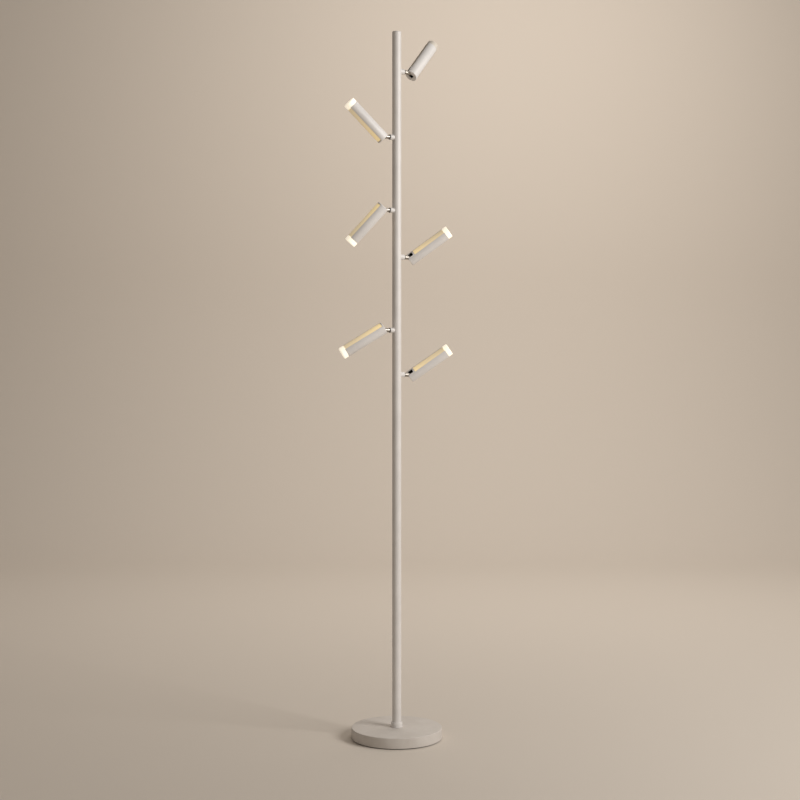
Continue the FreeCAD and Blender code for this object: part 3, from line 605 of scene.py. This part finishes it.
# %% Make the base cover
BASE_R = 110.0
BASE_TOP = 27.0
COVER_WALL = 2.0
SKIRT_LOW = 2.0
SKIRT_CHAMFER = 0.6
SHOULDER_R = 1.6
STUD_HOLE_R = 6.2
INLET_Z = 14.0
INLET_R = 4.55
INLET_DRILL = 15.0      # what its drill goes on to each side of the skirt

cover_profile = (
    [(STUD_HOLE_R, BASE_TOP - COVER_WALL), (BASE_R - COVER_WALL, BASE_TOP - COVER_WALL),
     (BASE_R - COVER_WALL, SKIRT_LOW), (BASE_R - SKIRT_CHAMFER, SKIRT_LOW),
     (BASE_R, SKIRT_LOW + SKIRT_CHAMFER)]
    + arc(BASE_R - SHOULDER_R, BASE_TOP - SHOULDER_R, SHOULDER_R, 0, 90)
    + [(STUD_HOLE_R, BASE_TOP)]
)
inlet_cutter = rod_mesh("inlet_cutter", INLET_R, BASE_R - INLET_DRILL, BASE_R + INLET_DRILL, segments=48)
inlet_cutter.transform(Matrix.Translation((0, 0, INLET_Z * MM)) @ Matrix.Rotation(-math.pi / 2, 4, "X"))
cover_mesh = finished("base_cover_skin", lathe("cover", cover_profile, segments=160), [inlet_cutter])
cover = piece("base_cover_skin", cover_mesh, shaded_coat_on_base, "stand", "base_cover")
print("base cover:", [round(c * 1000, 1) for c in cover.dimensions], "mm")

# %% [markdown]
# ## The pole
#
# The pole is drawn steel tube, 22 mm across, in two lengths that meet over an inner sleeve. The tubes
# are spun with their real wall, so the ends are true rings. The upper tube has a hole in its side for
# each boss; the boss covers it, and it is cut here as well, so the tube is right from inside.

# %% Make the two tubes
POLE_R = 11.0
POLE_BORE_R = 9.5
TUBE_CHAMFER = 0.15
SHANK_R = 5.25
DRILL_START = POLE_R - 6  # the drill for the bosses starts inside the bore and ends outside the tube
DRILL_END = POLE_R + 5
LAMP_TOP = 1720.0
CAP_PLATE = 2.5
PLATE_LOW = LAMP_TOP - CAP_PLATE
joint_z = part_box("pole_upper")[0].z / MM


def tube_profile(low, high):
    """A tube's wall between two heights, with its outer edges broken."""
    return [(POLE_BORE_R, low), (POLE_R - TUBE_CHAMFER, low), (POLE_R, low + TUBE_CHAMFER),
            (POLE_R, high - TUBE_CHAMFER), (POLE_R - TUBE_CHAMFER, high), (POLE_BORE_R, high)]


lower_mesh = finished("pole_lower_tube", lathe("lower", tube_profile(BASE_TOP, joint_z)))
piece("pole_lower_tube", lower_mesh, coat_on_tube, "stand", "pole_lower")
boss_holes = []
for number in HEADS:
    drill = rod_mesh("side_drill", SHANK_R, DRILL_START, DRILL_END, segments=48)
    drill.transform(PLACES[number]["boss"])
    boss_holes.append(drill)
upper_mesh = finished("pole_upper_tube", lathe("upper", tube_profile(joint_z, PLATE_LOW)), boss_holes)
piece("pole_upper_tube", upper_mesh, coat_on_tube, "stand", "pole_upper")
print("pole joint at", round(joint_z, 1), "mm")

# %% [markdown]
# ## Collar and cap
#
# The collar at the pole's foot hides the hole in the base and is a plain turned ring with a rounded
# top edge. The cap is a turned plug: its plate is as wide as the tube, and a groove 0.4 mm high under
# the plate makes the fine dark line that a real push-in cap shows.

# %% Make the collar and the cap
COLLAR_R = 14.0
COLLAR_BORE_R = 11.1
COLLAR_TOP = BASE_TOP + 12
COLLAR_ROUND = 1.0
COLLAR_CHAMFER = 0.3
BORE_CHAMFER = 0.2
PLUG_R = 9.4
PLUG_LOW = PLATE_LOW - 8
PLUG_CHAMFER = 0.4
GROOVE_R = 10.4
GROOVE_TOP = PLATE_LOW + 0.4
PLATE_LIFT = 0.1        # the plate's underside rises this much to its rim
CAP_ROUND = 0.6

collar_profile = (
    [(COLLAR_BORE_R, BASE_TOP), (COLLAR_R - COLLAR_CHAMFER, BASE_TOP),
     (COLLAR_R, BASE_TOP + COLLAR_CHAMFER)]
    + arc(COLLAR_R - COLLAR_ROUND, COLLAR_TOP - COLLAR_ROUND, COLLAR_ROUND, 0, 90)
    + [(COLLAR_BORE_R + BORE_CHAMFER, COLLAR_TOP), (COLLAR_BORE_R, COLLAR_TOP - BORE_CHAMFER)]
)
collar_mesh = finished("foot_collar_ring", lathe("collar", collar_profile))
piece("foot_collar_ring", collar_mesh, coat_on_tube, "stand", "foot_collar")
cap_profile = (
    [(0, PLUG_LOW), (PLUG_R - PLUG_CHAMFER, PLUG_LOW), (PLUG_R, PLUG_LOW + PLUG_CHAMFER),
     (PLUG_R, PLATE_LOW), (GROOVE_R, PLATE_LOW), (GROOVE_R, GROOVE_TOP),
     (POLE_R, GROOVE_TOP + PLATE_LIFT)]
    + arc(POLE_R - CAP_ROUND, LAMP_TOP - CAP_ROUND, CAP_ROUND, 0, 90)
    + [(0, LAMP_TOP)]
)
cap_mesh = finished("pole_cap", lathe("cap", cap_profile))
piece("pole_cap", cap_mesh, coat_on_tube, "stand", "top_cap")

# %% [markdown]
# ## Bosses
#
# A boss is a short turned stub whose inner end is milled to a saddle that hugs the tube. It carries
# the arm's spigot. The saddle is cut with a cylinder as wide as the pole, the bore goes right through,
# and a shank that reaches into the tube is joined on. The outer edge has a small round that catches the
# light as a bright ring.

# %% Make one boss and stand it in six places
BOSS_R = 6.5
BOSS_LOW = 4.0
BOSS_REACH = 20.5
BOSS_ROUND = 0.6
BOSS_BORE_R = 3.05
MOUTH_CHAMFER = 0.3
SHANK_LOW = 8.0
SHANK_HIGH = 12.5
SADDLE_HALF = 20        # half length of the saddle's cutter, which ends past the boss

boss_profile = (
    [(BOSS_BORE_R, BOSS_LOW), (BOSS_R, BOSS_LOW)]
    + arc(BOSS_R - BOSS_ROUND, BOSS_REACH - BOSS_ROUND, BOSS_ROUND, 0, 90)
    + [(BOSS_BORE_R + MOUTH_CHAMFER, BOSS_REACH), (BOSS_BORE_R, BOSS_REACH - MOUTH_CHAMFER)]
)
saddle_cutter = rod_mesh("saddle_cutter", POLE_R, -SADDLE_HALF, SADDLE_HALF, segments=128)
saddle_cutter.transform(Matrix.Rotation(math.pi / 2, 4, "Y"))
shank = lathe("boss_shank", [(BOSS_BORE_R, SHANK_LOW), (SHANK_R, SHANK_LOW), (SHANK_R, SHANK_HIGH),
                             (BOSS_BORE_R, SHANK_HIGH)], segments=64)
boss_mesh = finished("arm_boss", lathe("boss", boss_profile, segments=64), [saddle_cutter], joiners=[shank])
for number in HEADS:
    piece(f"arm_boss_{number}_turned", boss_mesh, coat_on_tube, "stand",
          f"arm_boss_{number}", PLACES[number]["boss"])
print("boss:", len(boss_mesh.polygons), "faces, shared by six")

# %% [markdown]
# ## Arms
#
# The arm is a turned rod, 10 mm thick, with a thin spigot that turns in the boss and a ball end that
# turns inside the head. The whole outline is one profile: spread end, spigot, shoulder with a small
# chamfer, rod and half ball. The pin hole is drilled across the ball.

# %% Make one arm and stand it in six places
ARM_R = 5.0
ARM_REACH = 47.0
WIRE_BORE_R = 2.0
WIRE_BORE_END = ARM_REACH - 5
FLARE_R = 3.9
FLARE_LOW = 10.4
FLARE_HIGH = 11.9
SPIGOT_R = 3.0
ARM_SHOULDER = 22.3
SHOULDER_CHAMFER = 0.4
PIN_HOLE_R = 2.05
PIN_DRILL_HALF = 8      # half length of its drill, which ends past the ball

arm_profile = (
    [(WIRE_BORE_R, FLARE_LOW), (FLARE_R, FLARE_LOW), (FLARE_R, FLARE_HIGH), (SPIGOT_R, FLARE_HIGH),
     (SPIGOT_R, ARM_SHOULDER), (ARM_R - SHOULDER_CHAMFER, ARM_SHOULDER),
     (ARM_R, ARM_SHOULDER + SHOULDER_CHAMFER)]
    + arc(0, ARM_REACH, ARM_R, 0, 90, steps=12)
    + [(0, WIRE_BORE_END), (WIRE_BORE_R, WIRE_BORE_END)]
)
pin_drill = rod_mesh("pin_drill", PIN_HOLE_R, -PIN_DRILL_HALF, PIN_DRILL_HALF, segments=40)
pin_drill.transform(Matrix.Translation((0, 0, ARM_REACH * MM)) @ Matrix.Rotation(math.pi / 2, 4, "X"))
arm_mesh = finished("swivel_arm", lathe("arm", arm_profile, segments=64), [pin_drill])
for number in HEADS:
    piece(f"swivel_arm_{number}_turned", arm_mesh, nickel,
          f"swivel_{number}", f"swivel_arm_{number}", PLACES[number]["arm"])
print("arm:", len(arm_mesh.polygons), "faces")

# %% [markdown]
# ## Head housings
#
# The housing is extruded aluminium tube, closed at the back, with three openings: the tail slot, which
# lets the arm swing from straight behind the head to square beside it, and two long slots for the
# light strips. Blocks cut the light slots, and two blocks with a round about the pin cut the tail,
# which is how an end mill leaves it. The bevel then gives the painted edge.

# %% Make one housing and stand it in six places
HEAD_R = 15.0
HEAD_BORE_R = 13.5
REAR_INSIDE = 2 - PIN_TO_REAR
REAR_ROUND = 1.2
FRONT_CHAMFER = 0.2
SLOT_HALF = 5.35        # half width of the tail slot
SLOT_PAST_REAR = -14    # its cutters end past the tube, here and at the side
SLOT_PAST_SIDE = 22
STRIP_HALF = 7.0        # half width of a light slot
STRIP_FROM_AXIS = 5     # its cutter starts inside the bore and ends past the tube
STRIP_PAST_SIDE = 20
STRIP_PAST_FRONT = 120
NEAR_REAR = 9.35        # rear end of the light slot on the tail slot's side, from the pin
FAR_REAR = -6           # rear end of the light slot on the other side

housing_profile = (
    [(0, REAR_INSIDE), (HEAD_BORE_R, REAR_INSIDE), (HEAD_BORE_R, PIN_TO_CAP),
     (HEAD_R - FRONT_CHAMFER, PIN_TO_CAP), (HEAD_R, PIN_TO_CAP - FRONT_CHAMFER)]
    + arc(HEAD_R - REAR_ROUND, REAR_ROUND - PIN_TO_REAR, REAR_ROUND, 0, -90)
    + [(0, -PIN_TO_REAR)]
)
slot_round = rod_mesh("slot_round", SLOT_HALF, -SLOT_HALF, SLOT_HALF, segments=64)
slot_round.transform(Matrix.Rotation(math.pi / 2, 4, "X"))
slot_behind = box_mesh("slot_behind", (-SLOT_HALF, -SLOT_HALF, SLOT_PAST_REAR),
                       (SLOT_PAST_SIDE, SLOT_HALF, 0))
slot_side = box_mesh("slot_side", (0, -SLOT_HALF, SLOT_PAST_REAR), (SLOT_PAST_SIDE, SLOT_HALF, SLOT_HALF))
near_slot = box_mesh("near_slot", (STRIP_FROM_AXIS, -STRIP_HALF, NEAR_REAR),
                     (STRIP_PAST_SIDE, STRIP_HALF, STRIP_PAST_FRONT))
far_slot = box_mesh("far_slot", (-STRIP_PAST_SIDE, -STRIP_HALF, FAR_REAR),
                    (-STRIP_FROM_AXIS, STRIP_HALF, STRIP_PAST_FRONT))
housing_mesh = finished("head_housing", lathe("housing", housing_profile),
                        [slot_round, slot_behind, slot_side, near_slot, far_slot], soft_mm=0.25)
for number in HEADS:
    piece(f"head_{number}_tube", housing_mesh, coat_on_head,
          f"head_{number}", f"head_{number}_housing", PLACES[number]["head"])

# %% [markdown]
# ## Light guides
#
# One moulding carries the light out: a solid-looking cap at the front, a plug that centres it in the
# tube, and two strips that fill the long slots. The strips stand a hair below the painted tube, with a
# thin dark gap round them, as a moulding that snaps into place does. The cap is spun, and each strip is
# what three blocks leave of a spun sleeve.

# %% Make one light guide and stand it in six places
GAP = 0.35  # mm all round a strip: drawn a little wider than the real gap, so that its line shows
GUIDE_R = 13.45
GUIDE_BORE_R = 11.0
HOLLOW_END = PIN_TO_FRONT - 3.5
PLUG_REAR = PIN_TO_CAP - 8
CAP_R = HEAD_R - 0.3
CAP_CHAMFER = 0.3
NOSE_ROUND = 1.5
STRIP_R = HEAD_R - 0.15
PAST_STRIP = 5          # what the blocks that trim a strip go on past its rear end

guide_profile = (
    [(0, HOLLOW_END), (GUIDE_BORE_R, HOLLOW_END), (GUIDE_BORE_R, PLUG_REAR), (GUIDE_R, PLUG_REAR),
     (GUIDE_R, PIN_TO_CAP), (CAP_R - CAP_CHAMFER, PIN_TO_CAP), (CAP_R, PIN_TO_CAP + CAP_CHAMFER)]
    + arc(CAP_R - NOSE_ROUND, PIN_TO_FRONT - NOSE_ROUND, NOSE_ROUND, 0, 90)
    + [(0, PIN_TO_FRONT)]
)


def strip_mesh(name, low_x, high_x, rear):
    """A strip in its slot. The third block takes away the sleeve's other side, from low_x to high_x."""
    sleeve = lathe(name, [(GUIDE_R, rear), (STRIP_R, rear), (STRIP_R, PIN_TO_CAP), (GUIDE_R, PIN_TO_CAP)])
    half = STRIP_HALF - GAP
    side = STRIP_PAST_SIDE
    front = STRIP_PAST_FRONT
    low = rear - PAST_STRIP
    cutters = [
        box_mesh("strip_side", (-side, -side, low), (side, -half, front)),
        box_mesh("strip_side", (-side, half, low), (side, side, front)),
        box_mesh("strip_side", (low_x, -side, low), (high_x, side, front)),
    ]
    return finished(name, sleeve, cutters)


def joined(name, meshes):
    """Put several meshes in one piece of mesh data."""
    whole = bmesh.new()
    for data in meshes:
        whole.from_mesh(data)
    return smooth_walls(as_data(name, whole))


near_strip = strip_mesh("near_strip", -STRIP_PAST_SIDE, STRIP_FROM_AXIS, NEAR_REAR + GAP)
far_strip = strip_mesh("far_strip", -STRIP_FROM_AXIS, STRIP_PAST_SIDE, FAR_REAR + GAP)
light_cap = finished("light_cap", lathe("light_cap", guide_profile))
guide_mesh = joined("light_guide", [light_cap, near_strip, far_strip])
for number in HEADS:
    guide_copy = guide_mesh if number > 1 else guide_mesh.copy()
    piece(f"head_{number}_light", guide_copy, GUIDES[number], f"head_{number}",
          f"head_{number}_light_guide", PLACES[number]["head"])
print("light guide:", len(guide_mesh.polygons), "faces")

# %% [markdown]
# ## Finishes on the engineered pieces
#
# What the frame already shapes well keeps its mesh and only gets its finish: the cores, pins and
# boards inside the heads, the friction rings, and everything inside the pole, inside the base or under
# it. The nodes that the finer meshes stand in for get theirs too, so that no node is left plain.

# %% Give the frame's own nodes their materials
FINISH = {
    "base_ballast": iron, "foot_pad": rubber, "cable_grommet": rubber, "led_driver": supply_plastic,
    "driver_screws": zinc, "pole_coupler": zinc, "pole_stud": zinc, "pole_nut": zinc,
    "friction_rings": acetal, "wiring_harness": insulation,
    "base_cover": shaded_coat_on_base, "pole_lower": coat_on_tube, "pole_upper": coat_on_tube,
    "foot_collar": coat_on_tube, "top_cap": coat_on_tube,
}
for number in HEADS:
    FINISH[f"arm_boss_{number}"] = coat_on_tube
    FINISH[f"swivel_arm_{number}"] = nickel
    FINISH[f"head_{number}_housing"] = coat_on_head
    FINISH[f"head_{number}_hinge_core"] = anodised
    FINISH[f"head_{number}_hinge_pin"] = zinc
    FINISH[f"head_{number}_led_board"] = board_white
    FINISH[f"head_{number}_light_guide"] = GUIDES[number]
for name, material in FINISH.items():
    for holder in nodes[name].material_slots:
        holder.material = material
missing = sorted(set(nodes) - set(FINISH))
print("finished", len(FINISH), "nodes, left over:", missing)

# %% [markdown]
# ## Floor and wall
#
# The lamp stands on a pale studio sweep: a floor that curves up into a wall, so no corner line shows.
# Its colour is a pale warm grey, like the plain room in the photograph. The wall stands almost five
# metres back, so that there is room to walk round the lamp and look at it from behind.

# %% Make the sweep


def studio_paper():
    """Matte paper with a faint fibre."""
    material, tree = new_material("studio_paper")
    here = add(tree, "TexCoord").outputs["Object"]
    fibre = add(tree, "TexNoise", inputs={"Vector": here, "Scale": per_metre(3), "Detail": 3.0})
    tone = ramp_between(tree, fibre.outputs["Fac"], [(0.3, "#cdc4b9"), (0.7, "#d1c8be")])
    shader = add(tree, "BsdfPrincipled", inputs={"Base Color": tone, "Roughness": 0.9, "IOR": 1.45})
    add(tree, "OutputMaterial", inputs={"Surface": shader.outputs["BSDF"]})
    return material


SWEEP_BACK = 4.8        # m, to the wall behind the lamp
SWEEP_BEND = 1.6        # m, radius between floor and wall
SWEEP_FRONT = 9.0       # m, of floor in front
SWEEP_TOP = 8.0         # m, height of the wall
SWEEP_HALF_WIDTH = 12.0
BEND_STEPS = 16

sweep_profile = [(-SWEEP_FRONT, 0.0), (SWEEP_BACK - SWEEP_BEND, 0.0)]
for step in range(1, BEND_STEPS + 1):
    angle = math.radians(90 * step / BEND_STEPS)
    sweep_profile.append((SWEEP_BACK - SWEEP_BEND + SWEEP_BEND * math.sin(angle),
                          SWEEP_BEND - SWEEP_BEND * math.cos(angle)))
sweep_profile.append((SWEEP_BACK, SWEEP_TOP))
sweep_mesh = bmesh.new()
rows = [[sweep_mesh.verts.new((x, y, z)) for y, z in sweep_profile]
        for x in (-SWEEP_HALF_WIDTH, SWEEP_HALF_WIDTH)]
for step in range(len(sweep_profile) - 1):
    sweep_mesh.faces.new((rows[0][step], rows[1][step], rows[1][step + 1], rows[0][step + 1]))
bmesh.ops.recalc_face_normals(sweep_mesh, faces=sweep_mesh.faces)
sweep_data = as_data("sweep", sweep_mesh)
for face in sweep_data.polygons:
    face.use_smooth = True
sweep = bpy.data.objects.new("studio_sweep", sweep_data)
bpy.context.scene.collection.objects.link(sweep)
sweep_data.materials.append(studio_paper())
print("sweep:", len(sweep_data.polygons), "faces, wall", SWEEP_BACK, "m back")

# %% [markdown]
# ## The camera
#
# The photograph looks at the lamp from its front left, level, from about 3.1 m away. The camera's
# direction and lens were solved from the base's oval, the pole's width and the six heads. The sweep is
# turned to face the camera, so the wall is square behind the lamp.

# %% Camera
CAMERA_AT = Vector((-1.695, -2.625, 0.823))
LOOK = Vector((0.5446, 0.8387, 0.0))
TURN = math.atan2(-LOOK.x, LOOK.y)
sweep.rotation_euler = (0, 0, TURN)
sweep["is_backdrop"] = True

lens = bpy.data.cameras.new("photo_camera")
lens.lens = 57.7
lens.sensor_width = 36.0
lens.clip_end = 50
camera = bpy.data.objects.new("photo_camera", lens)
camera.location = CAMERA_AT
camera.rotation_mode = "QUATERNION"
camera.rotation_quaternion = LOOK.to_track_quat("-Z", "Y")
bpy.context.scene.collection.objects.link(camera)
bpy.context.scene.camera = camera
print("camera", [round(c, 3) for c in camera.location], "lens", lens.lens)

# %% [markdown]
# ## Light
#
# A large soft lamp from the right does most of the work, as in the photograph, where the left sides of
# the tubes are a good shade darker and the foot is darker than the top. A weak warm fill from the left
# keeps that side from going dull, and a third soft lamp behind the product lights the wall. The air
# around is a dim even light. Only to the camera and in mirror reflections does it look pale, as a
# studio's own white walls would.

# %% Lamps and world
LAMP_MIDDLE = Vector((0, 0, 0.9))
WALL_MIDDLE = LOOK * SWEEP_BACK + LAMP_MIDDLE
AIR_GLOW = 0.23     # what the air around adds to the light
STUDIO_PALE = 0.66  # how bright it looks to the camera and in mirror reflections


def soft_lamp(name, side, ahead, height, size, watts, colour, aim=LAMP_MIDDLE):
    """A square soft lamp placed as the camera sees it, in metres, aimed at the lamp's middle."""
    right = Vector((LOOK.y, -LOOK.x, 0))
    spot = right * side - LOOK * ahead + Vector((0, 0, height))
    data = bpy.data.lights.new(name, "AREA")
    data.shape = "SQUARE"
    data.size = size
    data.energy = watts
    data.color = linear(colour)[:3]
    thing = bpy.data.objects.new(name, data)
    thing.location = spot
    thing.rotation_mode = "QUATERNION"
    thing.rotation_quaternion = (aim - spot).to_track_quat("-Z", "Y")
    bpy.context.scene.collection.objects.link(thing)


soft_lamp("key_softbox", side=2.65, ahead=1.5, height=2.0, size=1.4, watts=84, colour="#fffcf8")
soft_lamp("fill_softbox", side=-2.2, ahead=1.8, height=1.8, size=2.2, watts=3, colour="#ffe6c8")
soft_lamp("wall_softbox", side=0.8, ahead=-1.8, height=3.6, size=2.6, watts=92, colour="#fff8f0",
          aim=WALL_MIDDLE)
world = bpy.data.worlds.new("studio_air")
bpy.context.scene.world = world
world.use_nodes = True
world.node_tree.nodes.clear()
rays = add(world.node_tree, "LightPath").outputs
mirrored = add(world.node_tree, "Math", {"operation": "MAXIMUM"}, {
    0: rays["Is Glossy Ray"], 1: rays["Is Transmission Ray"]})
seen = add(world.node_tree, "Math", {"operation": "MAXIMUM"}, {
    0: rays["Is Camera Ray"], 1: mirrored.outputs["Value"]})
brightness = add(world.node_tree, "MapRange", inputs={
    "Value": seen.outputs["Value"], "To Min": AIR_GLOW, "To Max": STUDIO_PALE})
air = add(world.node_tree, "Background", inputs={
    "Color": linear("#f3ebe1"), "Strength": brightness.outputs["Result"]})
add(world.node_tree, "OutputWorld", inputs={"Surface": air.outputs["Background"]})
bpy.context.scene.view_settings.view_transform = "Standard"

# %% Compare the boxes and finish
now_low, now_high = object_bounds()
before = [round(c, 4) for c in cad_high - cad_low]
after = [round(c, 4) for c in now_high - now_low]
print("box before", before, "after", after)
